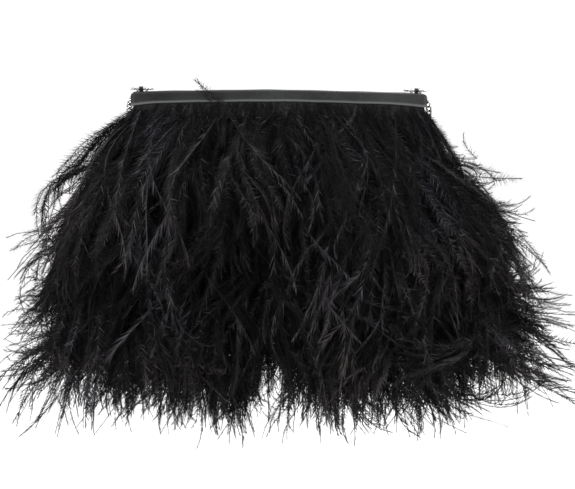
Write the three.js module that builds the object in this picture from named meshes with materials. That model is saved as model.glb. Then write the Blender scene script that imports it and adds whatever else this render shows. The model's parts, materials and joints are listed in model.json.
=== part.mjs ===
// An evening bag covered in tiers of long ostrich feathers, with a leather-bound rim and a double chain strap.
// Millimetres, +Z up, front towards -Y. The origin is the middle of the rim's top, where a hand holds the bag.
import * as THREE from "three";

// Body
const BODY_HEIGHT = 180; // rim top to the bottom of the panels
const BODY_HALF_WIDTH = 113;
const BASE_HALF_DEPTH = 22; // middle of each panel's board, at the base
const RIM_HALF_DEPTH = 3.4; // middle of each panel's board, at the rim
const LEAN = Math.asin((BASE_HALF_DEPTH - RIM_HALF_DEPTH) / BODY_HEIGHT);
const PANEL_TOP = BODY_HEIGHT / Math.cos(LEAN); // measured up the leaning panel
const RIM_DROP = 2.5; // how much lower the rim's ends are than its middle
const STEPS_ALONG_RIM = 20;

// Layers of a panel, as distances from the middle of its board, + towards the inside
const GAP = 0.3;
const BOARD = 0.8;
const LINING = [1.9, 2.6];
const LINING_HALF_WIDTH = 83;
const TAPE = [-2.2, -1.1];
const POCKET = [2.9, 3.6];

// Leather rim and the steel strip inside it
const RIM_HALF_WIDTH = 115;
const RIM_HEIGHT = 9;
const RIM_FLARE = 2; // the band is deeper at its ends
const RIM_OUTER = 2.1;
const RIM_INNER = BOARD + GAP;
const RIM_TOP_WALL = 1.2;
const STIFFENER_HEIGHT = 3;

// Feather tiers: each is a sewn tape and the fan of feathers that hangs from it
const TIERS = 6;
const FIRST_TIER = 18; // below the rim top
const TIER_PITCH = 29;
const TAPE_HEIGHT = 8;
const FEATHER_LENGTH = 115;
const TIER_REACH = [186, 196, 206, 216, 226, 214]; // half width of each fan at its tips
const FAN_CORNER = [24, 18];
const FRONT_FAN = { slope: THREE.MathUtils.degToRad(31), thickness: 5 };
const BACK_FAN = { slope: THREE.MathUtils.degToRad(23), thickness: 4 };

// Side gussets
const GUSSET_CLOTH = 0.7;
const GUSSET_ARM = [21.5, 26]; // half of the folded cloth's width, at the base and at the rim

// Magnetic snap
const SNAP_BELOW_RIM = 24;
const SNAP_RADIUS = 7;
const SNAP_THICKNESS = 2.2;
const SNAP_BOSS = [2.6, 1.4];
const SNAP_HOLE = 3.4;
const WASHER = [1.1, 0.5];

// Strap rings, their leather tabs and the end links of the chain
const RING_X = 107;
const RING_RADIUS = 5.2;
const RING_WIRE = 0.9;
const RING_STRETCH = 4; // each half of the ring is moved this far out, which leaves straight bars
const RING_SEGMENTS = 14;
const RING_BAR_Z = 0.6;
const RING_TILT = THREE.MathUtils.degToRad(6);
const BAR_TO_BAR = 2 * RING_RADIUS * Math.cos(Math.PI / RING_SEGMENTS);
const TAB_WIDTH = 7;
const TAB_TAIL = 14.5;
const END_LINK = { radius: 3, wire: 0.7, hang: 1.1 };

// Chain strap: half of each strand's route, from its end link to the middle of the strap
const CHAIN_RADIUS = 2.8;
const CHAIN_STEPS = 44;
const OUTER_STRAND = [
  [111, 12.7, -5], [116.5, 15, -9.5], [119, 19, -17], [118.5, 26, -29], [116, 35, -45],
  [111, 46, -64], [104, 57.5, -84], [95, 68, -105], [84, 76, -126], [70, 80.5, -147],
  [53, 83, -165], [35, 84.6, -178], [17, 85.3, -186], [0, 85.5, -189],
];
const INNER_STRAND = [
  [104, 12.7, -5], [108.2, 15.2, -10.5], [111.2, 19.5, -18.5], [111.7, 25.5, -29], [109.2, 34, -44.5],
  [104.3, 45, -62], [97.3, 56, -81], [88.5, 66, -101], [78, 74, -121], [65, 79.2, -141],
  [49, 82, -158.5], [32.5, 83.8, -171], [16, 84.7, -179], [0, 85, -182],
];

const finish = (color, roughness, metalness = 0) => new THREE.MeshStandardMaterial({ color, roughness, metalness });
const leather = finish(0x2b2b2d, 0.5);
const satin = finish(0x0c0c0e, 0.45);
const lining = finish(0x1a1a1c, 0.6);
const board = finish(0x3a3733, 0.9);
const feather = finish(0x0b0b0f, 0.7);
const tape = finish(0x111113, 0.85);
const steel = finish(0xb9bbbd, 0.3, 1);
const silver = finish(0xc9cacc, 0.18, 1);

function named(name, geometry, material) {
  const mesh = new THREE.Mesh(geometry, material);
  mesh.name = name;
  return mesh;
}

function block([x0, x1], [y0, y1], [z0, z1]) {
  return new THREE.BoxGeometry(x1 - x0, y1 - y0, z1 - z0).translate((x0 + x1) / 2, (y0 + y1) / 2, (z0 + z1) / 2);
}

// A cross-section given as [y, z] points, run along X from -halfWidth to +halfWidth.
function alongX(section, halfWidth, steps) {
  const shape = new THREE.Shape(section.map(([y, z]) => new THREE.Vector2(y, z)));
  return new THREE.ExtrudeGeometry(shape, { depth: 2 * halfWidth, steps, bevelEnabled: false })
    .applyMatrix4(new THREE.Matrix4().set(0, 0, 1, -halfWidth, 1, 0, 0, 0, 0, 1, 0, 0, 0, 0, 0, 1));
}

function moveVertices(geometry, move) {
  const position = geometry.getAttribute("position");
  const point = new THREE.Vector3();
  for (let i = 0; i < position.count; i += 1) {
    point.fromBufferAttribute(position, i);
    move(point);
    position.setXYZ(i, point.x, point.y, point.z);
  }
  return geometry;
}

const rectangle = ([y0, y1], [z0, z1]) => [[y0, z0], [y1, z0], [y1, z1], [y0, z1]];

// The panel's upper edges follow the rim, which drops towards its ends.
function arched(geometry) {
  return moveVertices(geometry, (p) => {
    p.z -= RIM_DROP * (p.x / RIM_HALF_WIDTH) ** 2 * (p.z / PANEL_TOP);
  });
}

function rimBinding() {
  const bottom = PANEL_TOP - RIM_HEIGHT;
  const channelTop = PANEL_TOP - RIM_TOP_WALL;
  const shoulder = PANEL_TOP - 0.7;
  const crown = RIM_OUTER - 0.7;
  const section = [
    [-RIM_OUTER, bottom], [-RIM_INNER, bottom], [-RIM_INNER, channelTop], [RIM_INNER, channelTop],
    [RIM_INNER, bottom], [RIM_OUTER, bottom], [RIM_OUTER, shoulder], [crown, PANEL_TOP],
    [-crown, PANEL_TOP], [-RIM_OUTER, shoulder],
  ];
  const band = alongX(section, RIM_HALF_WIDTH, STEPS_ALONG_RIM);
  moveVertices(band, (p) => {
    if (p.z < channelTop - 1) p.z -= RIM_FLARE * Math.abs(p.x / RIM_HALF_WIDTH) ** 9;
  });
  return arched(band);
}

function rimStiffener() {
  const top = PANEL_TOP - RIM_TOP_WALL - GAP;
  const section = rectangle([-BOARD, BOARD], [top - STIFFENER_HEIGHT, top]);
  return arched(alongX(section, RIM_HALF_WIDTH - 1, STEPS_ALONG_RIM));
}

function panelBoard() {
  const top = PANEL_TOP - RIM_TOP_WALL - STIFFENER_HEIGHT - 2 * GAP;
  return arched(alongX(rectangle([-BOARD, BOARD], [1, top]), BODY_HALF_WIDTH, STEPS_ALONG_RIM));
}

function liningSheet() {
  const top = PANEL_TOP - RIM_HEIGHT - RIM_FLARE;
  return arched(alongX(rectangle(LINING, [3, top]), LINING_HALF_WIDTH, STEPS_ALONG_RIM));
}

function snapBody(profile) {
  const points = profile.map(([r, y]) => new THREE.Vector2(r, y));
  return new THREE.LatheGeometry(points, 20).translate(0, LINING[1] + GAP, PANEL_TOP - SNAP_BELOW_RIM);
}

function snapStud() {
  const [bossRadius, bossLength] = SNAP_BOSS;
  const tip = SNAP_THICKNESS + bossLength;
  return snapBody([
    [0, 0], [SNAP_RADIUS, 0], [SNAP_RADIUS, SNAP_THICKNESS],
    [bossRadius, SNAP_THICKNESS], [bossRadius, tip], [0, tip],
  ]);
}

function snapSocket() {
  return snapBody([
    [SNAP_HOLE, 0], [SNAP_RADIUS, 0], [SNAP_RADIUS, SNAP_THICKNESS], [SNAP_HOLE, SNAP_THICKNESS], [SNAP_HOLE, 0],
  ]);
}

// The washer plate that the snap's prongs are folded over, between the lining and the board.
function snapPlate() {
  const [start, thickness] = WASHER;
  return new THREE.CylinderGeometry(SNAP_RADIUS - 1, SNAP_RADIUS - 1, thickness, 20)
    .translate(0, start + thickness / 2, PANEL_TOP - SNAP_BELOW_RIM);
}

function featherFan(tier, fan) {
  const reach = TIER_REACH[tier];
  const [cornerX, cornerZ] = FAN_CORNER;
  const outline = new THREE.Shape();
  outline.moveTo(-BODY_HALF_WIDTH, 0);
  outline.lineTo(-reach, cornerZ - FEATHER_LENGTH);
  outline.lineTo(cornerX - reach, -FEATHER_LENGTH);
  outline.lineTo(reach - cornerX, -FEATHER_LENGTH);
  outline.lineTo(reach, cornerZ - FEATHER_LENGTH);
  outline.lineTo(BODY_HALF_WIDTH, 0);
  outline.closePath();
  return new THREE.ExtrudeGeometry(outline, { depth: fan.thickness, bevelEnabled: false }).rotateX(Math.PI / 2);
}

// Half of the bag in its own frame: X along the base edge, Z up the panel, -Y outwards.
function halfBag(side, fan) {
  const half = new THREE.Group();
  half.add(named(`${side}_panel`, panelBoard(), satin));
  half.add(named(`${side}_lining`, liningSheet(), lining));
  half.add(named(`${side}_rim_stiffener`, rimStiffener(), steel));
  half.add(named(`${side}_rim_binding`, rimBinding(), leather));
  for (let tier = 0; tier < TIERS; tier += 1) {
    const z = PANEL_TOP - FIRST_TIER - TIER_PITCH * tier;
    const strip = block([-BODY_HALF_WIDTH, BODY_HALF_WIDTH], TAPE, [z - TAPE_HEIGHT / 2, z + TAPE_HEIGHT / 2]);
    half.add(named(`feather_tape_${side}_${tier + 1}`, strip, tape));
    const feathers = named(`feathers_${side}_${tier + 1}`, featherFan(tier, fan), feather);
    feathers.position.set(0, TAPE[0] - GAP, z);
    feathers.rotation.x = -fan.slope;
    half.add(feathers);
  }
  half.position.set(0, -BASE_HALF_DEPTH, -BODY_HEIGHT);
  half.rotation.x = -LEAN;
  return half;
}

// Distance from the bag's middle plane to the inner face of a panel board, at height z.
const insideBoard = (z) => RIM_HALF_DEPTH - BOARD - GAP - z * Math.tan(LEAN);

// A side gusset folded inwards along its middle: nearly flat at the base, folded deep at the rim, so the mouth opens.
function gusset(side) {
  const bottom = 2 - BODY_HEIGHT;
  const top = -14;
  const edge = BODY_HALF_WIDTH - 1;
  const inner = [[-1, -1], [-1.5, -0.5], [-2, 0], [-1.5, 0.5], [-1, 1]];
  const outer = [[0, 1], [-0.5, 0.5], [-1, 0], [-0.5, -0.5], [0, -1]];
  const shape = new THREE.Shape([...inner, ...outer].map(([x, y]) => new THREE.Vector2(x, y)));
  const geometry = new THREE.ExtrudeGeometry(shape, { depth: top - bottom, steps: 30, bevelEnabled: false });
  geometry.translate(0, 0, bottom);
  moveVertices(geometry, (p) => {
    const halfGap = insideBoard(p.z);
    const arm = THREE.MathUtils.mapLinear(p.z, bottom, top, ...GUSSET_ARM);
    const fold = Math.sqrt(arm ** 2 - halfGap ** 2);
    const inFold = 1 - Math.abs(p.y);
    const inCloth = -p.x - inFold;
    p.x = edge - fold * inFold - ((GUSSET_CLOTH * arm) / halfGap) * inCloth;
    p.y *= halfGap;
  });
  if (side < 0) geometry.rotateZ(Math.PI);
  return geometry;
}

// A leather loop round the ring's near bar, its tail going down between the two halves of the rim.
function ringTab(x) {
  const outer = 2.3;
  const tail = 0.5;
  const start = Math.asin(tail / outer);
  const shape = new THREE.Shape();
  shape.moveTo(tail, -TAB_TAIL);
  shape.absarc(0, 0, outer, -Math.PI / 2 + start, (3 * Math.PI) / 2 - start, false);
  shape.lineTo(-tail, -TAB_TAIL);
  shape.closePath();
  shape.holes.push(new THREE.Path().absarc(0, 0, RING_WIRE + GAP, 0, 2 * Math.PI, true));
  return new THREE.ExtrudeGeometry(shape, { depth: TAB_WIDTH, curveSegments: 7, bevelEnabled: false })
    .applyMatrix4(new THREE.Matrix4().set(0, 0, 1, x - TAB_WIDTH / 2, 1, 0, 0, 0, 0, 1, 0, RING_BAR_Z, 0, 0, 0, 1));
}

function strapRing(x) {
  const ring = new THREE.TorusGeometry(RING_RADIUS, RING_WIRE, 8, RING_SEGMENTS);
  moveVertices(ring, (p) => {
    p.x += Math.sign(p.x) * RING_STRETCH;
  });
  return ring.translate(0, BAR_TO_BAR / 2, 0).rotateX(-RING_TILT).translate(x, 0, RING_BAR_Z);
}

// A jump ring round the far bar, hanging a little below it.
function endLink(x) {
  const barY = BAR_TO_BAR * Math.cos(RING_TILT);
  const barZ = RING_BAR_Z - BAR_TO_BAR * Math.sin(RING_TILT);
  return new THREE.TorusGeometry(END_LINK.radius, END_LINK.wire, 6, 10)
    .rotateY(Math.PI / 2)
    .translate(x, barY + END_LINK.hang / 2, barZ - END_LINK.hang * 0.87);
}

function chainStrand(halfRoute) {
  const right = halfRoute.map(([x, y, z]) => new THREE.Vector3(x, y, z));
  const left = halfRoute.slice(0, -1).reverse().map(([x, y, z]) => new THREE.Vector3(-x, y, z));
  const section = new THREE.Shape();
  for (let i = 0; i < 8; i += 1) {
    const angle = (i * Math.PI) / 4;
    const [x, y] = [CHAIN_RADIUS * Math.cos(angle), CHAIN_RADIUS * Math.sin(angle)];
    if (i === 0) section.moveTo(x, y);
    else section.lineTo(x, y);
  }
  section.closePath();
  const extrudePath = new THREE.CatmullRomCurve3([...right, ...left]);
  return new THREE.ExtrudeGeometry(section, { steps: CHAIN_STEPS, extrudePath, bevelEnabled: false });
}

const bag = new THREE.Group();

const front = halfBag("front", FRONT_FAN);
front.add(named("magnet_stud", snapStud(), steel));
front.add(named("magnet_stud_plate", snapPlate(), steel));
bag.add(front);

const back = new THREE.Group();
const backHalf = halfBag("back", BACK_FAN);
backHalf.add(named("magnet_socket", snapSocket(), steel));
backHalf.add(named("magnet_socket_plate", snapPlate(), steel));
backHalf.add(named("slip_pocket", block([-60, 60], POCKET, [40, 110]), lining));
back.add(backHalf);
back.rotation.z = Math.PI;
bag.add(back);

const baseDepth = BASE_HALF_DEPTH - BOARD - 0.5;
const floor = -BODY_HEIGHT;
bag.add(named("base_board", block([-112, 112], [-baseDepth, baseDepth], [floor - 1.5, floor + 0.5]), board));
bag.add(named("base_cover", block([-113, 113], [-22, 22], [floor - 3, floor - 1.8]), leather));
bag.add(named("lining_base", block([-92, 92], [-16, 16], [floor + 0.8, floor + 1.6]), lining));

for (const [side, sign] of [["left", -1], ["right", 1]]) {
  bag.add(named(`gusset_${side}`, gusset(sign), satin));
  bag.add(named(`ring_tab_${side}`, ringTab(sign * RING_X), leather));
  bag.add(named(`strap_ring_${side}`, strapRing(sign * RING_X), silver));
  bag.add(named(`end_link_${side}_outer`, endLink(sign * OUTER_STRAND[0][0]), silver));
  bag.add(named(`end_link_${side}_inner`, endLink(sign * INNER_STRAND[0][0]), silver));
}
bag.add(named("chain_strand_outer", chainStrand(OUTER_STRAND), silver));
bag.add(named("chain_strand_inner", chainStrand(INNER_STRAND), silver));

export default bag;
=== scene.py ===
import json
import math

import bmesh
import bpy
import numpy as np
from mathutils import Matrix, Quaternion, Vector


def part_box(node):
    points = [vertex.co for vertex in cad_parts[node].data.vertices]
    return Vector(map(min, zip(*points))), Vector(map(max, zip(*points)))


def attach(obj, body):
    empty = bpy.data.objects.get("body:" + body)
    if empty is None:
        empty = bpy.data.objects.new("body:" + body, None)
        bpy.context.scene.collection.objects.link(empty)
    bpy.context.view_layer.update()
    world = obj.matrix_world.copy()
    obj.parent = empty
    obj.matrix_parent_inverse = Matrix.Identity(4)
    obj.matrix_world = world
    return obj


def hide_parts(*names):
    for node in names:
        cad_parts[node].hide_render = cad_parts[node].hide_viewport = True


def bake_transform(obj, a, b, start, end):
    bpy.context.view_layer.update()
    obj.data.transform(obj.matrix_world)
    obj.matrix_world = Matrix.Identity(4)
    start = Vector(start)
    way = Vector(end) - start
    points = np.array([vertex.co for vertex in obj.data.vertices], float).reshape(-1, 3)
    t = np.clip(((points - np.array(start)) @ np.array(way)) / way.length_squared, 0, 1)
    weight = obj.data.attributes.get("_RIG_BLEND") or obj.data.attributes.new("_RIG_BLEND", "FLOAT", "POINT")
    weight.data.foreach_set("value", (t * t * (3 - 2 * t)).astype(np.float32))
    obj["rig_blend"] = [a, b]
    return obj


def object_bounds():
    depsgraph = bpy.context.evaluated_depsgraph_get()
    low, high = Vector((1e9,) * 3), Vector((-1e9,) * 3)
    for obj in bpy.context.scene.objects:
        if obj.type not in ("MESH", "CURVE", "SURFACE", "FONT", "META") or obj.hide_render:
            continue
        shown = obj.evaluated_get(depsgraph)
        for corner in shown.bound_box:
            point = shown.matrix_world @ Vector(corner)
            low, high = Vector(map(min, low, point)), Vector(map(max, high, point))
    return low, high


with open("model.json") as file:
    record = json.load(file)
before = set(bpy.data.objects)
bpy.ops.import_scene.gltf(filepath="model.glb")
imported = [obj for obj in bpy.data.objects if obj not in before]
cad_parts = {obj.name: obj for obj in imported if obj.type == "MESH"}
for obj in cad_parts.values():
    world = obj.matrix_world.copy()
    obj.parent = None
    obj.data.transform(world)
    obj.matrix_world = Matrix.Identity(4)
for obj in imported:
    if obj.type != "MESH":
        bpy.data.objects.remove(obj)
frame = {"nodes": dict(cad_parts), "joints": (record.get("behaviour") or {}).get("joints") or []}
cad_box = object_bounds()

MM = 0.001
RNG = np.random.default_rng(29)
SIDES = ("front", "back")

# ---------------------------------------------------------------- the bag's driving dimensions, in metres
HINGE = Vector(next(j["pos_m"] for j in frame["joints"] if j["name"] == "mouth_open"))
BODY_HEIGHT = -HINGE.z
BASE_HALF_DEPTH = -HINGE.y
RIM_HALF_DEPTH = 3.4 * MM
LEAN = math.asin((BASE_HALF_DEPTH - RIM_HALF_DEPTH) / BODY_HEIGHT)
PANEL_TOP = BODY_HEIGHT / math.cos(LEAN)
BODY_HALF_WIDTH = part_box("front_panel")[1].x
RIM_HALF_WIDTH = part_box("front_rim_binding")[1].x
RIM_HEIGHT = 9 * MM
RIM_DROP = 2.5 * MM
RIM_FLARE = 2 * MM
TIERS = 6

# ---------------------------------------------------------------- camera
CAMERA_TARGET = Vector((7.5, 0, -122)) * MM
CAMERA_DISTANCE = 1.077
CAMERA_ELEVATION = math.radians(10)
CAMERA_ROLL = math.radians(0.4)

camera = bpy.data.objects.new("camera", bpy.data.cameras.new("camera"))
camera.data.lens = 85
camera.data.clip_end = 20
away = Vector((0, -math.cos(CAMERA_ELEVATION), math.sin(CAMERA_ELEVATION)))
camera.location = CAMERA_TARGET + away * CAMERA_DISTANCE
camera.rotation_euler = (away.to_track_quat("Z", "Y") @ Quaternion((0, 0, 1), CAMERA_ROLL)).to_euler()
bpy.context.scene.collection.objects.link(camera)
bpy.context.scene.camera = camera
bpy.context.scene.view_settings.view_transform = "Standard"


# ---------------------------------------------------------------- shading
class Value:
    """A value or colour in a material's node tree. Arithmetic on values adds Math nodes."""

    def __init__(self, tree, socket=None):
        self.tree = tree
        self.socket = socket

    def make(self, kind, inputs=None, output=0, stops=None, **settings):
        """Adds a node, sets its settings first and then its sockets, and returns one of its outputs."""
        node = self.tree.nodes.new("ShaderNode" + kind)
        for name, setting in settings.items():
            setattr(node, name, setting)
        for element, (place, colour) in zip(ramp_elements(node, stops), stops or ()):
            element.position = place
            element.color = colour
        for name, value in (inputs or {}).items():
            if isinstance(value, Value):
                self.tree.links.new(value.socket, node.inputs[name])
            else:
                node.inputs[name].default_value = value
        return Value(self.tree, node.outputs[output])

    def maths(self, operation, *values):
        return self.make("Math", dict(enumerate(values)), operation=operation)

    def __add__(self, other):
        return self.maths("ADD", self, other)

    def __sub__(self, other):
        return self.maths("SUBTRACT", self, other)

    def __rsub__(self, other):
        return self.maths("SUBTRACT", other, self)

    def __mul__(self, other):
        return self.maths("MULTIPLY", self, other)

    __radd__ = __add__
    __rmul__ = __mul__

    def place(self, scale=(1, 1, 1)):
        """Object coordinates, scaled."""
        here = self.make("TexCoord", output="Object")
        return self.make("Mapping", {"Vector": here, "Scale": scale})

    def noise(self, scale, detail):
        return self.make("TexNoise", {"Vector": self.place(), "Scale": scale, "Detail": detail})

    def blend(self, factor, low, high):
        """A colour between low and high."""
        return self.make("Mix", {0: factor, 6: low, 7: high}, output=2, data_type="RGBA")

    def bump(self, height, strength, distance):
        return self.make("Bump", {"Height": height, "Strength": strength, "Distance": distance})


def ramp_elements(node, stops):
    """The colour ramp's elements, as many as there are stops."""
    if not stops:
        return []
    elements = node.color_ramp.elements
    while len(elements) < len(stops):
        elements.new(1.0)
    return elements


def grey(level, warm=0.0):
    return (level * (1 + warm), level, level * (1 - warm), 1)


def material(name, constants, varying):
    """A Principled material: constants go on its own sockets, and varying gives the inputs that change."""
    made = bpy.data.materials.new(name)
    made.use_nodes = True
    shader = made.node_tree.nodes["Principled BSDF"]
    for socket, value in constants.items():
        shader.inputs[socket].default_value = value
    for socket, value in varying(Value(made.node_tree)).items():
        made.node_tree.links.new(value.socket, shader.inputs[socket])
    return made


def leather_grain(v):
    """Fine pebbled leather, with a painted highlight: the edges attribute is 1 along the lower lip, where it
    paints the pale floor's reflection, and rises a little partway round the rounded ends.
    """
    cells = v.make("TexVoronoi", {"Vector": v.place(), "Scale": 1300}, output="Distance")
    fine = v.noise(2600, 4)
    cloudy = v.noise(90, 4)
    patches = v.noise(420, 3)
    # shine paints broad patches of highlight along the rim; cloudy and patches are the leather's own uneven
    # tone
    shine = v.noise(17, 2) * 3 - 1.0
    painted_lip_highlight = v.make("Attribute", output="Fac", attribute_name="edges")
    mottle_and_painted_shine = (cloudy * 0.3 + patches * 0.3 + shine * 0.4) * 1.7 - 0.35
    skin = v.blend(mottle_and_painted_shine, grey(0.003, -0.03), grey(0.025, -0.02))
    return {
        # the lighter grey is a painted reflection and highlight, laid on where the edges attribute rises
        "Base Color": v.blend(painted_lip_highlight, skin, grey(0.1, -0.03)),
        "Roughness": cloudy * 0.12 + fine * 0.12 + 0.36,
        "Normal": v.bump(cells * 0.6 + fine * 0.4, 0.4, 0.00014),
    }


def satin_weave(threads, low, high):
    """Crossed threads, from a dark colour between them, painted shade, to a lighter one on top, a painted
    highlight; a cloudy noise mixes in the cloth's own uneven tone.
    """
    def varying(v):
        lay = {"Vector": v.place(), "Scale": threads}
        warp = v.make("TexWave", lay, output="Fac", bands_direction="X")
        weft = v.make("TexWave", lay, output="Fac", bands_direction="Z")
        cloudy = v.noise(45, 3)
        thread = warp * 0.5 + weft * 0.5
        return {
            # painted shade and highlight: the weave's hollows darker, the threads' tops lighter
            "Base Color": v.blend(thread * 0.5 + cloudy * 0.5, low, high),
            "Roughness": cloudy * 0.2 + 0.3,
            "Normal": v.bump(thread, 0.3, 0.00008),
        }
    return varying


def pressed_fibre(v):
    speck = v.noise(900, 6)
    return {
        "Base Color": v.blend(speck, grey(0.03, 0.1), grey(0.09, 0.12)),
        "Normal": v.bump(speck, 0.4, 0.0001),
    }


def brushed(v):
    """Steel with fine streaks along X."""
    streak = v.make("TexNoise", {"Vector": v.place((1, 60, 60)), "Scale": 60, "Detail": 5})
    return {"Base Color": v.blend(streak, grey(0.42), grey(0.62)), "Roughness": streak * 0.25 + 0.22}


def polished_silver(v):
    """Metal with a painted mottle of highlights and shade, and painted shade on the wires' inner sides,
    between the wires.
    """
    wear = v.noise(700, 4)
    painted_inner_shade = v.make("Attribute", output="Fac", attribute_name="painted_inner_shade")
    # painted highlights and shade: a noise mottle over the metal, darkened further on the wires' inner sides
    painted_glint_and_shade = v.noise(330, 3) * 2.4 - 0.3 - painted_inner_shade * 1.0
    return {
        "Base Color": v.blend(painted_glint_and_shade, (0.07, 0.062, 0.054, 1), (0.80, 0.79, 0.77, 1)),
        "Roughness": wear * 0.2 + 0.1,
        "Normal": v.bump(wear, 0.2, 0.00006),
    }


def feather_black(v):
    """Black dye that took unevenly: cool or warm from tuft to tuft, browner towards the tips. The tint
    attribute sets how light each flue is; besides random tone it carries painted shade in the bag's middle
    and a painted highlight along each shaft.
    """
    tint = v.make("Attribute", output="Fac", attribute_name="tint")
    along = v.make("Attribute", output="Fac", attribute_name="along")
    cool = v.make("ValToRGB", {"Fac": tint}, stops=[
        (0.0, (0.0010, 0.0010, 0.0012, 1)),
        (0.4, (0.0032, 0.0031, 0.0037, 1)),
        (0.72, (0.0150, 0.0145, 0.0180, 1)),
        (1.0, (0.0560, 0.0535, 0.0660, 1)),
    ])
    warm = v.make("ValToRGB", {"Fac": tint}, stops=[
        (0.0, (0.0012, 0.0011, 0.0010, 1)),
        (0.4, (0.0036, 0.0032, 0.0031, 1)),
        (0.72, (0.0160, 0.0138, 0.0135, 1)),
        (1.0, (0.0500, 0.0440, 0.0430, 1)),
    ])
    patches = v.noise(16, 2) * 3 - 1.1 + along * 0.35
    return {"Base Color": v.blend(patches, cool, warm), "Roughness": 0.6 - tint * 0.2}


LEATHER = material("rim leather", {"Specular IOR Level": 0.14}, leather_grain)
SATIN = material("shell satin", {"Sheen Weight": 0.06, "Sheen Roughness": 0.3, "Specular IOR Level": 0.2},
                 satin_weave(1400, grey(0.003), grey(0.007)))
LINING = material("lining satin", {"Sheen Weight": 0.4, "Sheen Roughness": 0.35},
                  satin_weave(1100, grey(0.010), grey(0.024)))
TAPE = material("sewn tape", {"Sheen Weight": 0.05, "Specular IOR Level": 0.15},
                satin_weave(700, grey(0.004), grey(0.009)))
BOARD = material("fibre board", {"Roughness": 0.9}, pressed_fibre)
STEEL = material("brushed steel", {"Metallic": 1.0}, brushed)
SILVER = material("polished silver", {"Metallic": 1.0}, polished_silver)
FEATHER = material("dyed ostrich", {"Sheen Weight": 0.02, "Sheen Roughness": 0.4, "Specular IOR Level": 0.07},
                   feather_black)


# ---------------------------------------------------------------- pieces
def half_place(side):
    """From a half's own frame (X along the base edge, Z up the panel, -Y outwards) to the bag's."""
    leaned = Matrix.Translation(HINGE) @ Matrix.Rotation(-LEAN, 4, "X")
    return leaned if side == "front" else Matrix.Rotation(math.pi, 4, "Z") @ leaned


def piece(name, bm, finish, body, replaced=(), smooth=True):
    """Turns a bmesh, already in the bag's frame, into a finished piece."""
    bmesh.ops.recalc_face_normals(bm, faces=bm.faces)
    mesh = bpy.data.meshes.new(name)
    bm.to_mesh(mesh)
    bm.free()
    mesh.polygons.foreach_set("use_smooth", [smooth] * len(mesh.polygons))
    made = bpy.data.objects.new(name, mesh)
    bpy.context.scene.collection.objects.link(made)
    mesh.materials.append(finish)
    if body:
        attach(made, body)
    if replaced:
        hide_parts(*replaced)
    return made


def modify(made, kind, **settings):
    modifier = made.modifiers.new(kind.lower(), kind)
    for name, value in settings.items():
        setattr(modifier, name, value)


def body_of_side(side):
    return "front" if side == "front" else "root"


def block(size, centre):
    """A box, its size and its centre in mm."""
    bm = bmesh.new()
    matrix = Matrix.Translation(Vector(centre) * MM) @ Matrix.Diagonal((*(Vector(size) * MM), 1))
    bmesh.ops.create_cube(bm, size=1, matrix=matrix)
    return bm


def edges_and_verts(grown):
    """The new edges and the new vertices of an extrusion."""
    geom = grown["geom"]
    return ([g for g in geom if isinstance(g, bmesh.types.BMEdge)],
            [g for g in geom if isinstance(g, bmesh.types.BMVert)])


def long_prism(section, stations):
    """A closed section of (y, z) points, in mm, run along X through the stations, in metres, and capped."""
    bm = bmesh.new()
    ring = [bm.verts.new((stations[0], y * MM, z * MM)) for y, z in section]
    edges = [bm.edges.new(pair) for pair in zip(ring, ring[1:] + ring[:1])]
    for here, following in zip(stations, stations[1:]):
        edges, verts = edges_and_verts(bmesh.ops.extrude_edge_only(bm, edges=edges))
        bmesh.ops.translate(bm, verts=verts, vec=(following - here, 0, 0))
    bmesh.ops.holes_fill(bm, edges=[e for e in bm.edges if e.is_boundary], sides=0)
    return bm


def rim_binding(side):
    """A leather-wrapped rim: rounded along its edges and ends, with a turned lip along its lower edge."""
    end_round = 3.2 * MM
    lip_height = 1.9 * MM
    square_end = RIM_HALF_WIDTH - end_round
    section = [
        (-2.1, 0), (-2.45, 0.25), (-2.45, 1.0), (-2.15, 1.5), (-2.1, 2.1), (-2.12, 4.5), (-2.1, 7.2),
        (-2.05, 8.0), (-1.6, 8.7), (-0.9, 9), (0.9, 9), (1.6, 8.7), (2.05, 8.0), (2.1, 7.2),
        (2.12, 4.5), (2.1, 2.1), (2.15, 1.5), (2.3, 1.0), (2.3, 0.25), (2.0, 0),
    ]
    middle = np.linspace(-1, 1, 61) * square_end
    ends = RIM_HALF_WIDTH - end_round * (1 - np.array([0.3, 0.6, 0.82, 0.95, 1.0]))
    bm = long_prism(section, [*-ends[::-1], *middle, *ends])
    # the edges layer paints light: a painted reflection along the lower lip and a painted highlight partway
    # round each rounded end
    painted_lip_highlight = bm.verts.layers.float.new("edges")
    for v in bm.verts:
        share = v.co.x / RIM_HALF_WIDTH
        into_end = max(0.0, abs(v.co.x) - square_end) / end_round
        lip = max(0.0, 1 - v.co.z / lip_height)
        v[painted_lip_highlight] = max(0.0, min(1.0, 0.95 * lip ** 0.7 + 0.5 * into_end * (1 - into_end)))
        left_over = 1 - math.sqrt(max(0.0, 1 - into_end ** 2))
        v.co.y *= max(0.3, 1 - left_over)
        v.co.z += (1 - 2 * v.co.z / RIM_HEIGHT) * 2.2 * MM * left_over
        v.co.z -= RIM_FLARE * abs(share) ** 9 * (1 - v.co.z / RIM_HEIGHT)
        v.co.z -= RIM_DROP * share ** 2
        # hand-wrapped leather is never quite straight
        v.co.z += 0.16 * MM * math.sin(v.co.x * 61 + 1.3) + 0.1 * MM * math.sin(v.co.x * 173)
        v.co.y += 0.12 * MM * math.sin(v.co.x * 97 + (0.4 if side == "front" else 2.2))
        v.co.z += PANEL_TOP - RIM_HEIGHT
    bmesh.ops.transform(bm, matrix=half_place(side), verts=bm.verts)
    made = piece(f"rim_{side}", bm, LEATHER, body_of_side(side), [f"{side}_rim_binding"])
    modify(made, "SUBSURF", levels=1, render_levels=1)
    return made


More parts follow.
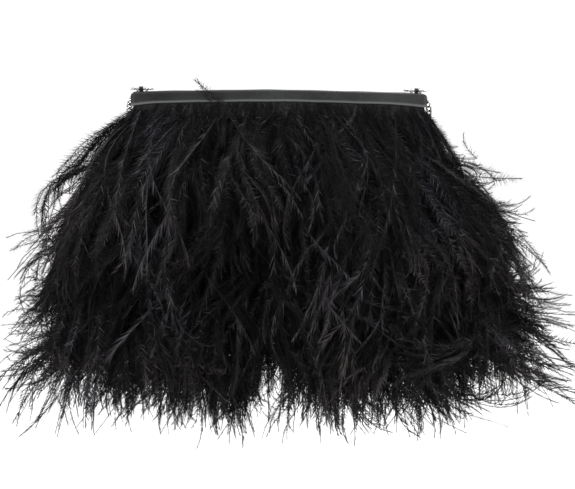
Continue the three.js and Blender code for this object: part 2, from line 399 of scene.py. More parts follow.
def covered_panel(side):
    """The satin-covered board that the feather tapes are sewn to. Its top edge is inside the rim."""
    half, low, top = 0.8, 1.2, PANEL_TOP / MM - 6
    section = [(-half, low), (-half, top), (half, top), (half, low)]
    bm = long_prism(section, np.linspace(-1, 1, 25) * BODY_HALF_WIDTH)
    bmesh.ops.bevel(bm, geom=[e for e in bm.edges if e.calc_face_angle(0) > 1], offset=0.5 * MM, segments=3,
                    profile=0.5, affect="EDGES", material=-1)
    for v in bm.verts:
        v.co.z -= RIM_DROP * (v.co.x / RIM_HALF_WIDTH) ** 2 * (v.co.z / PANEL_TOP)
    bmesh.ops.transform(bm, matrix=half_place(side), verts=bm.verts)
    return piece(f"panel_{side}", bm, SATIN, body_of_side(side), [f"{side}_panel"],
                 smooth=False)


def cloth(columns, rows, shape):
    """A grid of cloth whose points are moved by shape(u, v), u and v from -1 to 1."""
    bm = bmesh.new()
    bmesh.ops.create_grid(bm, x_segments=columns, y_segments=rows, size=1)
    for vert in bm.verts:
        vert.co = shape(vert.co.x, vert.co.y)
    return bm


def lining_sheet(side):
    """The lining of one half: slack, with soft upright folds that fade towards its seams."""
    half_width, low, high = 83 * MM, 3 * MM, PANEL_TOP - 11.5 * MM
    off_panel = 2.25
    phase = 0.0 if side == "front" else 1.7

    def shape(u, v):
        slack = (1 - u * u) * (1 - v * v)
        fold = 0.5 * math.sin(9 * u + 2 * v + phase) + 0.35 * math.sin(21 * u - 3 * v + phase)
        off = (off_panel + 0.35 * fold * slack) * MM
        return Vector((u * half_width, off, low + (v + 1) / 2 * (high - low)))

    bm = cloth(80, 40, shape)
    bmesh.ops.transform(bm, matrix=half_place(side), verts=bm.verts)
    made = piece(f"lining_{side}", bm, LINING, body_of_side(side), [f"{side}_lining"])
    modify(made, "SOLIDIFY", thickness=0.4 * MM, offset=0)
    return made


def pocket():
    """A slip pocket on the back lining, with a folded hem along its mouth."""
    bm = block((120, 0.6, 70), (0, 3.3, 75))
    hem = block((120, 1.1, 7), (0, 3.4, 107))
    for part in (bm, hem):
        bmesh.ops.bevel(part, geom=part.edges, offset=0.25 * MM, segments=2, profile=0.5,
                        affect="EDGES", material=-1)
    joined = bpy.data.meshes.new("hem")
    hem.to_mesh(joined)
    hem.free()
    bm.from_mesh(joined)
    bpy.data.meshes.remove(joined)
    bmesh.ops.transform(bm, matrix=half_place("back"), verts=bm.verts)
    return piece("pocket", bm, LINING, "root", ["slip_pocket"], smooth=False)


def gusset(name, sign):
    """A side gusset: nearly flat at the base and folded inwards, deeper and deeper, towards the rim."""
    low, high = 2 * MM - BODY_HEIGHT, -14 * MM
    edge = BODY_HALF_WIDTH - 1.6 * MM
    arm_at_base, arm_at_rim = 21.5 * MM, 26 * MM

    def shape(u, v):
        rise = (v + 1) / 2
        z = low + rise * (high - low)
        half_gap = RIM_HALF_DEPTH - 1.1 * MM - z * math.tan(LEAN)
        arm = arm_at_base + (arm_at_rim - arm_at_base) * rise
        depth = math.sqrt(arm ** 2 - half_gap ** 2)
        soft = 1 - math.sqrt(u * u + 0.004)
        crease = 0.35 * MM * math.sin(26 * v + 3 * u) * (1 - u * u)
        return Vector((sign * (edge - depth * soft + crease), half_gap * u, z))

    bm = cloth(24, 48, shape)
    made = piece(f"gusset_cloth_{name}", bm, SATIN, None, [f"gusset_{name}"])
    modify(made, "SOLIDIFY", thickness=0.5 * MM, offset=0)
    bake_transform(made, "root", "front", start=(0, 3 * MM, 0), end=(0, -3 * MM, 0))
    return made


def base():
    """The leather under the base board."""
    cover = block((226, 44, 1.2), (0, 0, -182.4))
    bmesh.ops.bevel(cover, geom=cover.edges, offset=0.45 * MM, segments=3, profile=0.5,
                    affect="EDGES", material=-1)
    piece("base_leather", cover, LEATHER, "root", ["base_cover"], smooth=False)


# ---------------------------------------------------------------- metalwork
def turned(name, profile, side, body, replaced):
    """A part turned about the snap's axis, from (radius, depth) points in mm, depth from the lining on."""
    bm = bmesh.new()
    verts = [bm.verts.new((r * MM, y * MM, 0)) for r, y in profile]
    edges = [bm.edges.new(pair) for pair in zip(verts, verts[1:])]
    bmesh.ops.spin(bm, geom=verts + edges, axis=(0, 1, 0), cent=(0, 0, 0), steps=48, angle=2 * math.pi,
                   use_merge=True)
    bmesh.ops.remove_doubles(bm, verts=bm.verts, dist=1e-6)
    sharp = [e for e in bm.edges if len(e.link_faces) == 2 and e.calc_face_angle() > 0.6]
    bmesh.ops.bevel(bm, geom=sharp, offset=0.18 * MM, segments=2, profile=0.5, affect="EDGES", material=-1)
    seat = Matrix.Translation((0, 2.9 * MM, PANEL_TOP - 24 * MM))
    bmesh.ops.transform(bm, matrix=half_place(side) @ seat, verts=bm.verts)
    return piece(name, bm, STEEL, body, [replaced])


def snap():
    """The magnetic snap: a stud with a boss on the front half and a socket with a hole on the back half."""
    rounded_disc = [(7, 0), (7, 1.5), (6.3, 2.2)]
    boss = [(2.6, 2.2), (2.6, 3.2), (2.1, 3.6), (0, 3.6)]
    hole = [(3.8, 2.2), (3.4, 1.9), (3.4, 0)]
    turned("snap_stud", [(0, 0), *rounded_disc, *boss], "front", "front", "magnet_stud")
    turned("snap_socket", [(3.4, 0), *rounded_disc, *hole], "back", "root", "magnet_socket")


def wire_loop(radius, wire, stretch, segments, wire_sides):
    """A closed wire loop in the XY plane, its halves moved apart by stretch, which leaves straight bars.

    One attribute, 1 on the wire's inner side, paints shade there, between the wires.
    """
    bm = bmesh.new()
    start = Matrix.Translation((radius, 0, 0)) @ Matrix.Rotation(math.pi / 2, 4, "X")
    bmesh.ops.create_circle(bm, segments=wire_sides, radius=wire, matrix=start)
    bmesh.ops.rotate(bm, verts=bm.verts, cent=(0, 0, 0), matrix=Matrix.Rotation(math.pi / segments, 3, "Z"))
    bmesh.ops.spin(bm, geom=list(bm.verts) + list(bm.edges), axis=(0, 0, 1), cent=(0, 0, 0),
                   steps=segments, angle=2 * math.pi, use_merge=True)
    bmesh.ops.remove_doubles(bm, verts=bm.verts, dist=1e-7)
    # painted shade between the wires: this layer darkens the wire's inner side
    painted_inner_shade = bm.verts.layers.float.new("painted_inner_shade")
    for v in bm.verts:
        inward = (radius - math.hypot(v.co.x, v.co.y)) / wire
        v[painted_inner_shade] = max(0.0, min(1.0, 0.35 + 0.65 * inward))
        v.co.x += math.copysign(stretch, v.co.x)
    return bm


RING_X = 107 * MM
RING_RADIUS = 5.2 * MM
RING_WIRE = 0.9 * MM
RING_STRETCH = 4 * MM
RING_TWISTS = 14
RING_BAR = Vector(next(j["pos_m"] for j in frame["joints"] if j["name"] == "ring_right_swing"))
FAR_BAR = Vector(next(j["pos_m"] for j in frame["joints"] if j["name"] == "strap_swing"))


def strap_ring(name, sign):
    """A ring of two wires twisted together, which hangs by its near bar from the tab."""
    bm = wire_loop(RING_RADIUS, RING_WIRE, RING_STRETCH, 120, 16)
    for v in bm.verts:
        shift = math.copysign(RING_STRETCH, v.co.x)
        around = math.atan2(v.co.y, v.co.x - shift)
        centre = Vector((shift + RING_RADIUS * math.cos(around), RING_RADIUS * math.sin(around), 0))
        spoke = v.co - centre
        inward = math.atan2(spoke.z, math.hypot(v.co.x - shift, v.co.y) - RING_RADIUS)
        v.co = centre + spoke * (0.88 + 0.12 * math.cos(2 * inward - RING_TWISTS * around))
    tilt = math.atan2(FAR_BAR.z - RING_BAR.z, FAR_BAR.y)
    near_bar = Matrix.Translation((sign * RING_X, 0, RING_BAR.z)) @ Matrix.Rotation(tilt, 4, "X")
    place = near_bar @ Matrix.Translation((0, RING_RADIUS * 0.985, 0))
    bmesh.ops.transform(bm, matrix=place, verts=bm.verts)
    return piece(f"ring_{name}", bm, SILVER, f"ring_{name}", [f"strap_ring_{name}"])


def tab(name, sign):
    """A strip of leather folded round the ring's near bar, its tails going down between the rims."""
    outer, tail, width = 1.2 * MM, 0.45 * MM, 3.2 * MM
    tail_top, tail_end = -6 * MM, -14 * MM
    turns = np.linspace(-math.pi / 2 + 0.25, 3 * math.pi / 2 - 0.25, 22)
    line = [(tail, tail_end), (tail, tail_top)]
    line += [(outer * math.cos(a), outer * math.sin(a)) for a in turns]
    line += [(-tail, tail_top), (-tail, tail_end)]
    bm = bmesh.new()
    left = sign * RING_X - width / 2
    verts = [bm.verts.new((left, y, RING_BAR.z + z)) for y, z in line]
    edges = [bm.edges.new(pair) for pair in zip(verts, verts[1:])]
    for _ in range(4):
        edges, verts = edges_and_verts(bmesh.ops.extrude_edge_only(bm, edges=edges))
        bmesh.ops.translate(bm, verts=verts, vec=(width / 4, 0, 0))
    made = piece(f"tab_{name}", bm, LEATHER, "root", [f"ring_tab_{name}"])
    modify(made, "SOLIDIFY", thickness=0.5 * MM, offset=0)
    modify(made, "BEVEL", width=0.15 * MM, segments=2, limit_method="ANGLE")
    return made


def end_link(node):
    """A round jump ring that joins one end of a strand to a strap ring."""
    low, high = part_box(node)
    bm = wire_loop(2.95 * MM, 0.85 * MM, 0, 30, 10)
    bmesh.ops.rotate(bm, verts=bm.verts, cent=(0, 0, 0), matrix=Matrix.Rotation(math.pi / 2, 3, "Y"))
    bmesh.ops.translate(bm, verts=bm.verts, vec=(low + high) / 2)
    return piece(node.replace("end_link", "jump_ring"), bm, SILVER, "strap", [node])


# ---------------------------------------------------------------- chain strap
LINK_PITCH = 3.9 * MM
# Half of each strand's route, in mm, from the right ring down to its lowest point behind the bag.
OUTER_STRAND = [
    (111, 12.7, -5), (116.5, 15, -9.5), (119, 19, -17), (118.5, 26, -29), (116, 35, -45),
    (111, 46, -64), (104, 57.5, -84), (95, 68, -105), (84, 76, -126), (70, 80.5, -147),
    (53, 83, -165), (35, 84.6, -178), (17, 85.3, -186), (0, 85.5, -189),
]
INNER_STRAND = [
    (104, 12.7, -5), (108.2, 15.2, -10.5), (111.2, 19.5, -18.5), (111.7, 25.5, -29), (109.2, 34, -44.5),
    (104.3, 45, -62), (97.3, 56, -81), (88.5, 66, -101), (78, 74, -121), (65, 79.2, -141),
    (49, 82, -158.5), (32.5, 83.8, -171), (16, 84.7, -179), (0, 85, -182),
]


def smooth_route(half_route, spacing):
    """Evenly spaced points on one smooth curve through a half route and its mirror image."""
    there = [np.array(p) * MM for p in half_route]
    points = there + [p * (-1, 1, 1) for p in reversed(there[:-1])]
    points = np.array([2 * points[0] - points[1], *points, 2 * points[-1] - points[-2]])
    t = np.linspace(0, 1, 24, endpoint=False)[:, None]
    dense = []
    for a, b, c, d in zip(points, points[1:], points[2:], points[3:]):
        cubic = 3 * (b - c) + d - a
        square = 2 * a - 5 * b + 4 * c - d
        dense.append(b + 0.5 * t * (c - a + t * (square + t * cubic)))
    dense = np.vstack([*dense, points[-2]])
    run = np.concatenate([[0], np.cumsum(np.linalg.norm(np.diff(dense, axis=0), axis=1))])
    count = round(run[-1] / spacing)
    at = np.linspace(0, run[-1], count + 1)
    return np.stack([np.interp(at, run, dense[:, k]) for k in range(3)], axis=1), run[-1]


def curb_link():
    """One flat curb link along X: a wire loop, twisted about a quarter turn over its length."""
    half_length = 3 * MM
    bm = wire_loop(1.95 * MM, 0.85 * MM, 0.85 * MM, 10, 5)
    for v in bm.verts:
        turn = Matrix.Rotation(math.pi / 4 * v.co.x / half_length, 3, "X")
        v.co = turn @ v.co
    return bm


def chain_strand(name, half_route):
    """A strand of curb links laid flat along its route; the jump rings at its ends are made apart, by
    end_link.
    """
    route, length = smooth_route(half_route, LINK_PITCH)
    link = bpy.data.meshes.new("link")
    made_link = curb_link()
    made_link.to_mesh(link)
    made_link.free()
    bm = bmesh.new()
    outward = Vector((0, 0.87, 0.5))
    for here, following in zip(route, route[1:]):
        along = (Vector(following) - Vector(here)).normalized()
        across = outward.cross(along).normalized()
        up = along.cross(across)
        turn = Matrix((along, across, up)).transposed().to_4x4()
        before = len(bm.verts)
        bm.from_mesh(link)
        bm.verts.ensure_lookup_table()
        bmesh.ops.transform(bm, matrix=Matrix.Translation((Vector(here) + Vector(following)) / 2) @ turn,
                            verts=bm.verts[before:])
    bpy.data.meshes.remove(link)
    made = piece(f"curb_chain_{name}", bm, SILVER, "strap", [f"chain_strand_{name}"])
    return made


def strap():
    for name, route in (("outer", OUTER_STRAND), ("inner", INNER_STRAND)):
        links = [end_link(f"end_link_{side}_{name}") for side in ("left", "right")]
        chain_strand(name, route)


# ---------------------------------------------------------------- feathers
BENDS = 18  # points along each flue's curve
SPRAYS = 7  # sprays of barbs along each flue
BARB_PAIRS = 10  # in each spray
FLUE_LENGTH = 126 * MM

# How each tier's flues lie at its left (-1) and right (1) end, top tier first: how far they lean out from
# straight down, in degrees, the share of that lean that they lose by the tip, their length as a share of
# FLUE_LENGTH, and how far their tips may reach to the side, in mm.
END_SLOPE = {-1: (48, 60, 60, 58, 74, 82), 1: (22, 62, 68, 68, 76, 82)}
END_DROOP = {-1: (0.85, 1.1, 1.1, 1.0, 0.6, 0.38), 1: (0.9, 0.85, 0.8, 0.75, 0.55, 0.38)}
END_LENGTH = {-1: (1.12, 1.2, 1.22, 1.08, 1.1, 1.36), 1: (0.95, 1.12, 1.18, 1.18, 1.22, 1.4)}
END_REACH = {-1: (184, 203, 216, 184, 171, 220), 1: (146, 190, 207, 206, 222, 242)}

# The lean at the middle of each tier, its number of tufts, and the flues of each kind.
MIDDLE_SLOPE = {"front": (46, 47, 48, 49, 47, 44), "back": (37, 38, 38, 39, 39, 40)}
TUFTS = {"front": (58, 58, 60, 66, 76, 88), "back": (46, 46, 46, 48, 56, 62)}
FLUES_PER_TUFT = 9
LOOSE_FLUES = {"front": 32, "back": 14}
DOWN_FLUES = 300

# How far the feathers may stand out in front or behind, the height of their hem, and how that hem rises
# towards the left and right ends.
FORM_LIMITS = {"front": (103 * MM, -268 * MM), "back": (93 * MM, -266 * MM)}
HEM_RISE = (20 * MM, 8 * MM)  # at both ends, and more of it at the right end


def barb_spray(number, seed, lean, reach, thick):
    """One spray of barbs on its length of shaft: X across the vane, Y off it, Z from 0 to 1 along the shaft.

    The spray's number, from 0 at the root, sets how much its barbs shorten and close up towards the tip.
    """
    draw = np.random.default_rng(10 * seed + number)
    bm = bmesh.new()
    shaft = 0.3 * MM
    bmesh.ops.create_cone(bm, cap_ends=False, segments=3, radius1=shaft, radius2=shaft, depth=1,
                          matrix=Matrix.Translation((0, 0, 0.5)))
    along = [e for e in bm.edges if abs(e.verts[0].co.z - e.verts[1].co.z) > 0.5]
    bmesh.ops.subdivide_edges(bm, edges=along, cuts=1)
    shade = bm.verts.layers.float.new("shade")
    # every shaft point gets a raised tint: a painted highlight along the shaft
    for vert in bm.verts:
        vert[shade] = 0.12
    length = FLUE_LENGTH / SPRAYS
    for side in (-1, 1):
        for i in range(BARB_PAIRS):
            at = (i + draw.uniform(0.1, 0.9)) / BARB_PAIRS
            before_tip = 1 - (number + at) / SPRAYS
            long = reach * draw.uniform(0.6, 1.15) * min(1, 0.42 + 3.2 * before_tip)
            angle = math.radians(lean * draw.uniform(0.7, 1.3) * min(1, 0.45 + 3 * before_tip))
            out, on = side * long * math.sin(angle), long * math.cos(angle) / length
            lift = long * draw.uniform(-0.05, 0.3)
            corners = (0, 0, at), (0, 0, at + thick / length), (out, lift, at + on)
            barb = [bm.verts.new(corner) for corner in corners]
            bm.faces.new(barb)
            lighter = draw.normal(0, 0.26)
            for vert in barb:
                vert[shade] = lighter
    return bm


def flue(seed, lean, reach, thick):
    """The vertices, triangles and shades of one straight flue: sprays end to end, thinner at the root."""
    verts, faces, shades, start = [], [], [], 0
    for number in range(SPRAYS):
        bm = barb_spray(number, seed, lean, reach, thick)
        bmesh.ops.triangulate(bm, faces=bm.faces)
        points = np.array([v.co for v in bm.verts])
        points[:, 2] = (points[:, 2] + number) / SPRAYS
        shade = bm.verts.layers.float["shade"]
        shades.append(np.array([v[shade] for v in bm.verts]))
        verts.append(points)
        faces.append(np.array([[v.index for v in f.verts] for f in bm.faces]) + start)
        start += len(points)
        bm.free()
    verts, faces = np.concatenate(verts), np.concatenate(faces)
    verts[:, :2] *= np.minimum(1, 0.45 + 3 * verts[:, 2:])
    return verts, faces, np.concatenate(shades)


OPEN_FLUES = [flue(seed, lean=43, reach=8.6 * MM, thick=0.8 * MM) for seed in (1, 2, 3)]
FOLDED_FLUES = [flue(seed, lean=16, reach=12.5 * MM, thick=1.7 * MM) for seed in (4, 5)]


def unit(vectors):
    return vectors / np.maximum(np.linalg.norm(vectors, axis=-1, keepdims=True), 1e-9)


def heading(slope, azimuth):
    """Direction at a slope from straight down, towards an azimuth: 0 is the front, and +90 degrees is +X."""
    slope, azimuth = np.radians(slope), np.radians(azimuth)
    side, forward = np.sin(slope) * np.sin(azimuth), np.sin(slope) * np.cos(azimuth)
    return np.stack([side, -forward, -np.cos(slope)], axis=-1)


def laid_flues(flues, template):
    """Copies of one straight flue laid along curves: points, triangles, tints and places along the flue."""
    verts, faces, shade = template
    directions = flues["directions"]
    outward = unit(directions[:, :1] * (1, 1, 0) + (0, 0, 0.3))
    across = unit(np.cross(directions, outward))
    off = np.cross(across, directions)
    turn = (flues["rolls"][:, :1] + flues["rolls"][:, 1:] * np.linspace(0, 1, BENDS)[None, :])[:, :, None]
    vane = across * np.cos(turn) + off * np.sin(turn)
    face_out = off * np.cos(turn) - across * np.sin(turn)
    at = np.clip(verts[:, 2], 0, 1) * (BENDS - 1)
    k = np.minimum(at.astype(int), BENDS - 2)
    f = (at - k)[None, :, None]

    def along(values):
        return values[:, k] * (1 - f) + values[:, k + 1] * f

    past_tip = (np.maximum(verts[:, 2] - 1, 0)[None, :, None] * FLUE_LENGTH) * directions[:, -1:]
    widths = flues["widths"][:, None, None]
    placed = along(flues["spines"]) + past_tip
    placed += along(vane) * verts[None, :, :1] * widths + along(face_out) * verts[None, :, 1:2] * widths
    count = len(widths)
    indices = faces[None] + (np.arange(count) * len(verts))[:, None, None]
    shades = np.clip(np.repeat(flues["tints"], len(verts)) + np.tile(shade, count), 0, 1)
    alongs = np.tile(np.clip(verts[:, 2], 0, 1), count)
    return placed.reshape(-1, 3), indices.reshape(-1, 3), shades, alongs


def outside_the_bag(spines, side):
    """The flues' points, moved out where they'd pass through the panel. Past the bag's ends they go free."""
    outward = -1 if side == "front" else 1
    height = np.clip(spines[..., 2], -BODY_HEIGHT, 0)
    panel_face = BASE_HALF_DEPTH - (height + BODY_HEIGHT) * math.tan(LEAN) + 1.2 * MM
    clearance = np.minimum(np.linspace(0, 24, BENDS), 4.5) * MM  # nothing at the root, 4.5 mm soon after it
    past_end = np.maximum(np.abs(spines[..., 0]) - BODY_HALF_WIDTH - 6 * MM, 0)
    spines[..., 1] = outward * np.maximum(outward * spines[..., 1], panel_face + clearance - 3 * past_end)
    return spines


def shaped(roots, slopes, azimuths, lengths, widths, rolls, tints, side, tier):
    """Flues from their slopes and azimuths, in degrees, at BENDS points, shortened to stay in the form."""
    directions = heading(slopes, azimuths)
    if side == "back":
        directions[..., 1] *= -1
    middles = (directions[:, 1:] + directions[:, :-1]) / 2 / (BENDS - 1)
    runs = np.concatenate([np.zeros((len(roots), 1, 3)), np.cumsum(middles, axis=1)], axis=1)
    deep, hem = FORM_LIMITS[side]
    wide = by_end(END_REACH, tier, runs[:, -1, 0]) * MM
    loose = RNG.uniform(0.88, 1.0, len(roots))  # so that the tips don't end on one surface
    reach_x = np.abs(runs[..., 0]).max(axis=1)
    reach_y = np.abs(runs[..., 1]).max(axis=1)
    reach_z = -runs[..., 2].min(axis=1)
    room_x = wide * loose - np.abs(roots[:, 0])
    room_y = deep * loose - np.abs(roots[:, 1])
    to_right = roots[:, 0] / BODY_HALF_WIDTH
    both_ends, right_end = HEM_RISE
    ragged = (1 - loose) * 240 * MM
    room_z = roots[:, 2] - hem - ragged - (both_ends + right_end * to_right) * np.abs(to_right) ** 3
    for room, reach in ((room_x, reach_x), (room_y, reach_y), (room_z, reach_z)):
        lengths = np.minimum(lengths, room / np.maximum(reach, 0.05))
    spines = outside_the_bag(roots[:, None, :] + runs * lengths[:, None, None], side)
    return {"spines": spines, "directions": directions, "widths": widths, "rolls": rolls, "tints": tints}


def feather_piece(name, batches, body, replaced):
    """One mesh from several batches of laid flues."""
    points = np.concatenate([b[0] for b in batches])
    starts = np.cumsum([0] + [len(b[0]) for b in batches[:-1]])
    triangles = np.concatenate([b[1] + s for b, s in zip(batches, starts)])
    mesh = bpy.data.meshes.new(name)
    mesh.vertices.add(len(points))
    mesh.vertices.foreach_set("co", points.astype(np.float32).ravel())
    mesh.loops.add(triangles.size)
    mesh.loops.foreach_set("vertex_index", triangles.astype(np.int32).ravel())
    mesh.polygons.add(len(triangles))
    mesh.polygons.foreach_set("loop_start", np.arange(0, triangles.size, 3, dtype=np.int32))
    for attribute, column in (("tint", 2), ("along", 3)):
        values = np.concatenate([b[column] for b in batches]).astype(np.float32)
        mesh.attributes.new(attribute, "FLOAT", "POINT").data.foreach_set("value", values)
    mesh.update(calc_edges=True)
    mesh.materials.append(FEATHER)
    made = bpy.data.objects.new(name, mesh)
    bpy.context.scene.collection.objects.link(made)
    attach(made, body)
    if replaced:
        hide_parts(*replaced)
    return made


def wander(count, spread):
    """Slow random bends along each flue, in degrees, growing from nothing at its root."""
    t = np.linspace(0, 1, BENDS)[None, :]
    first, second, third = (RNG.normal(0, spread, (count, 1)) for _ in range(3))
    return t * first + t * np.sin(math.pi * t) * second + t * t * np.sin(2 * math.pi * t) * third


def tape_roots(side, tier, x):
    """Root points on a tier's tape at shares x of its half width."""
    low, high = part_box(f"feather_tape_{side}_{tier + 1}")
    count = len(x)
    if side == "front":
        y = low.y - RNG.uniform(0, 1.5, count) * MM
    else:
        y = high.y + RNG.uniform(0, 1.5, count) * MM
    z = RNG.uniform(low.z + 1 * MM, high.z - 0.3 * MM, count)
    return np.stack([x * BODY_HALF_WIDTH, y, z], axis=-1)


def by_end(table, tier, x):
    """A tier's value for each flue's end of the bag."""
    return np.where(x < 0, table[-1][tier], table[1][tier])


def split_by_template(flues, templates):
    """The flues dealt out to the straight ones in turn, and laid."""
    batches = []
    for number, template in enumerate(templates):
        chosen = np.arange(len(flues["tints"])) % len(templates) == number
        batches.append(laid_flues({key: value[chosen] for key, value in flues.items()}, template))
    return batches


def tufted_flues(side, tier, tufts):
    """A tier's main flues, in tufts that share a lean, a bend and a shade."""
    even = np.linspace(-1, 1, tufts)
    place = 1.25 * even - 0.25 * even ** 3 + RNG.normal(0, 0.4 / tufts, tufts)
    owner = np.repeat(np.arange(tufts), FLUES_PER_TUFT)  # the tuft that each flue belongs to
    count = len(owner)
    x = np.clip(place[owner] + RNG.normal(0, 1.3 / tufts, count), -1, 1)
    end = np.clip((np.abs(x) - 0.25) / 0.75, 0, 1) ** 1.3
    stray = (RNG.random(tufts) < 0.36) * RNG.normal(0, 50, tufts)
    azimuth = np.sign(x) * np.abs(x) ** 0.72 * 90 + (RNG.normal(0, 13, tufts) + stray)[owner]
    azimuth += RNG.normal(0, 4, count)
    slope = MIDDLE_SLOPE[side][tier] * (1 - end) + by_end(END_SLOPE, tier, x) * end
    slope += RNG.normal(0, 7, tufts)[owner] + RNG.normal(0, 3, count)
    slope = np.clip(slope, 8, 82)
    t = np.linspace(0, 1, BENDS)[None, :]
    droop = RNG.uniform(0.5, 0.95, tufts)[owner] + RNG.normal(0, 0.06, count)
    droop = (droop * (1 - end + end * by_end(END_DROOP, tier, x)))[:, None]
    slopes = slope[:, None] * (1 - droop * t ** 1.2)
    curl = RNG.normal(0, 44, tufts)[owner] + RNG.normal(0, 16, count)
    slopes = slopes + wander(tufts, 17)[owner] + wander(count, 5) + curl[:, None] * t ** 4
    azimuths = azimuth[:, None] + wander(tufts, 60)[owner] + wander(count, 12)
    lengths = FLUE_LENGTH * (1 - end + end * by_end(END_LENGTH, tier, x))
    lengths = lengths * RNG.uniform(0.88, 1.12, tufts)[owner] * RNG.uniform(0.8, 1.06, count)
    widths = RNG.uniform(0.75, 1.1, count)
    rolls = np.stack([RNG.normal(0, 0.6, count), RNG.normal(0, 1.1, count)], axis=-1)
    tints = RNG.beta(0.9, 2.7, tufts)[owner] * 0.95 + RNG.beta(1.1, 3.4, count) * 0.55
    # painted shade: the tint drops towards the bag's middle, where the feathers lie thickest
    painted_middle_shade = 0.44 + 0.6 * np.minimum(1, np.abs(x) / 0.42)
    tints = np.clip(tints * painted_middle_shade, 0, 1)
    roots = tape_roots(side, tier, x)
    flues = shaped(roots, slopes, azimuths, lengths, widths, rolls, tints, side, tier)
    return split_by_template(flues, OPEN_FLUES + FOLDED_FLUES[:1])


def loose_flues(side, tier, count):
    """Long folded flues that stand out over the tier, cross its flow and curl."""
    x = RNG.uniform(-1, 1, count)
    azimuth = np.sign(x) * np.abs(x) ** 0.8 * 80 + RNG.normal(0, 48, count)
    slope = RNG.uniform(56, 76, count)
    t = np.linspace(0, 1, BENDS)[None, :]
    slopes = slope[:, None] * (1 - RNG.uniform(0.45, 0.95, count)[:, None] * t ** 0.8) + wander(count, 16)
    azimuths = azimuth[:, None] + wander(count, 60)
    # painted shade: darker towards the bag's middle, as for the tufts
    tints = RNG.uniform(0.4, 0.95, count) * (0.62 + 0.38 * np.minimum(1, np.abs(x) / 0.45))
    lengths = FLUE_LENGTH * RNG.uniform(0.85, 1.15, count)
    rolls = np.stack([RNG.normal(0, 0.8, count), RNG.normal(0, 2.5, count)], axis=-1)
    roots = tape_roots(side, tier, x)
    widths = RNG.uniform(0.85, 1.3, count)
    flues = shaped(roots, slopes, azimuths, lengths, widths, rolls, tints, side, tier)
    return split_by_template(flues, FOLDED_FLUES)


def down(side, count):
    """Short fine flues rooted just under the rim, over the panel's top, that hide the top tier's tape."""
    x = RNG.uniform(-1, 1, count)
    rim_edge = PANEL_TOP - RIM_HEIGHT - (RIM_DROP + RIM_FLARE * np.abs(x) ** 7) * x ** 2
    height = rim_edge - RNG.uniform(-0.5, 2, count) * MM
    place = half_place(side)
    in_front = -1.3 * MM
    roots = np.array([place @ Vector((at * BODY_HALF_WIDTH, in_front, up)) for at, up in zip(x, height)])
    t = np.linspace(0, 1, BENDS)[None, :]
    slopes = RNG.uniform(22, 52, count)[:, None] * (1 - 0.7 * t) + wander(count, 10)
    azimuths = (x * 70 + RNG.normal(0, 30, count))[:, None] + wander(count, 25)
    if side == "back":
        azimuths = -azimuths
    lengths = RNG.uniform(16, 44, count) * MM
    rolls = np.stack([RNG.normal(0, 0.8, count), RNG.normal(0, 1.0, count)], axis=-1)
    widths = RNG.uniform(0.3, 0.6, count)
    tints = RNG.beta(1.6, 3, count)
    flues = shaped(roots, slopes, azimuths, lengths, widths, rolls, tints, side, 0)
    return split_by_template(flues, OPEN_FLUES)


def rim_wisps():
    """Three stray flues that have worked loose and lie up over the rim's front, and two that point right."""
    at = np.array([(-16, -44), (-24, -46), (-10, -41), (108, -52), (110, -58)]) * MM
    roots = np.column_stack([at[:, 0], [-15 * MM] * 3 + [-12 * MM] * 2, at[:, 1]])
    t = np.linspace(0, 1, BENDS)[None, :]
    slopes = np.array([[146], [138], [150], [84], [78]]) + np.array([[-18], [14], [-44], [-6], [18]]) * t
    azimuths = np.array([[-86], [-88], [-84], [84], [78]]) + np.array([[-4], [6], [4], [10], [-25]]) * t
    lengths = np.array([72, 68, 70, 72, 82]) * MM
    widths = np.array([0.95, 0.8, 0.7, 1.1, 1.2])
    rolls = np.array([[0.3, 1.5], [1.2, 1.0], [0.2, 2.0], [0.4, 0.8], [0.1, 1.2]])
    tints = np.full(len(roots), 0.3)
    flues = shaped(roots, slopes, azimuths, lengths, widths, rolls, tints, "front", 1)
    return split_by_template(flues, OPEN_FLUES)


def feather_tiers():
    """Each tier on each side as one piece, with the down in the top tiers and the strays in the front one."""
    for side in SIDES:
        for tier in range(TIERS):
            batches = tufted_flues(side, tier, TUFTS[side][tier])
            batches += loose_flues(side, tier, LOOSE_FLUES[side])
            if tier == 0:
                batches += down(side, DOWN_FLUES)
            if tier == 0 and side == "front":
                batches += rim_wisps()
            feather_piece(f"ostrich_{side}_{tier + 1}", batches, body_of_side(side),
                          [f"feathers_{side}_{tier + 1}"])


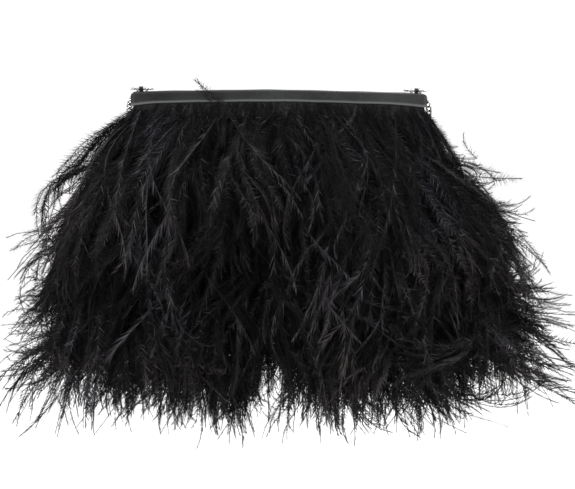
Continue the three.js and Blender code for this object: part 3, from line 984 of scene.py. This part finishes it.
# ---------------------------------------------------------------- what stays as packed
def finish_frame_nodes():
    """Materials for the parts that keep their own shape: strips, washers, boards and tapes."""
    for node, finish in (
        ("front_rim_stiffener", STEEL), ("back_rim_stiffener", STEEL), ("base_board", BOARD),
        ("magnet_stud_plate", STEEL), ("magnet_socket_plate", STEEL), ("lining_base", LINING),
    ):
        frame["nodes"][node].data.materials.clear()
        frame["nodes"][node].data.materials.append(finish)
    for side in SIDES:
        for tier in range(TIERS):
            tape = frame["nodes"][f"feather_tape_{side}_{tier + 1}"]
            tape.data.materials.clear()
            tape.data.materials.append(TAPE)


# ---------------------------------------------------------------- studio
def plain(name, level):
    """A matte grey for the studio."""
    made = bpy.data.materials.new(name)
    made.use_nodes = True
    shader = made.node_tree.nodes["Principled BSDF"]
    shader.inputs["Base Color"].default_value = grey(level)
    shader.inputs["Roughness"].default_value = 0.9
    return made


def studio():
    """A pale floor well below the hanging feathers, an even white surround, and three soft lights."""
    bm = bmesh.new()
    bmesh.ops.create_grid(bm, x_segments=2, y_segments=2, size=6)
    bmesh.ops.translate(bm, verts=bm.verts, vec=(0, 0, cad_box[0][2] - 0.45))
    mesh = bpy.data.meshes.new("floor")
    bm.to_mesh(mesh)
    bm.free()
    floor = bpy.data.objects.new("floor", mesh)
    mesh.materials.append(plain("pale floor", 0.93))
    bpy.context.scene.collection.objects.link(floor)
    world = bpy.data.worlds.new("white studio")
    world.use_nodes = True
    world.node_tree.nodes["Background"].inputs["Color"].default_value = (1, 1, 1, 1)
    world.node_tree.nodes["Background"].inputs["Strength"].default_value = 1.08
    bpy.context.scene.world = world
    for name, place, size, power in (
        ("key", (-0.7, -1.1, 1.3), 0.8, 30),
        ("fill", (1.2, -0.9, 0.5), 0.8, 12),
        ("back", (0.3, 1.3, 1.1), 0.8, 16),
    ):
        light = bpy.data.lights.new(name, "AREA")
        light.size = size
        light.energy = power
        lamp = bpy.data.objects.new(name, light)
        lamp.location = place
        lamp.rotation_euler = (Vector(place) - CAMERA_TARGET).to_track_quat("Z", "Y").to_euler()
        bpy.context.scene.collection.objects.link(lamp)


strap()
for side in SIDES:
    rim_binding(side)
    covered_panel(side)
    lining_sheet(side)
pocket()
base()
snap()
for name, sign in (("left", -1), ("right", 1)):
    gusset(name, sign)
    strap_ring(name, sign)
    tab(name, sign)
feather_tiers()
finish_frame_nodes()
studio()
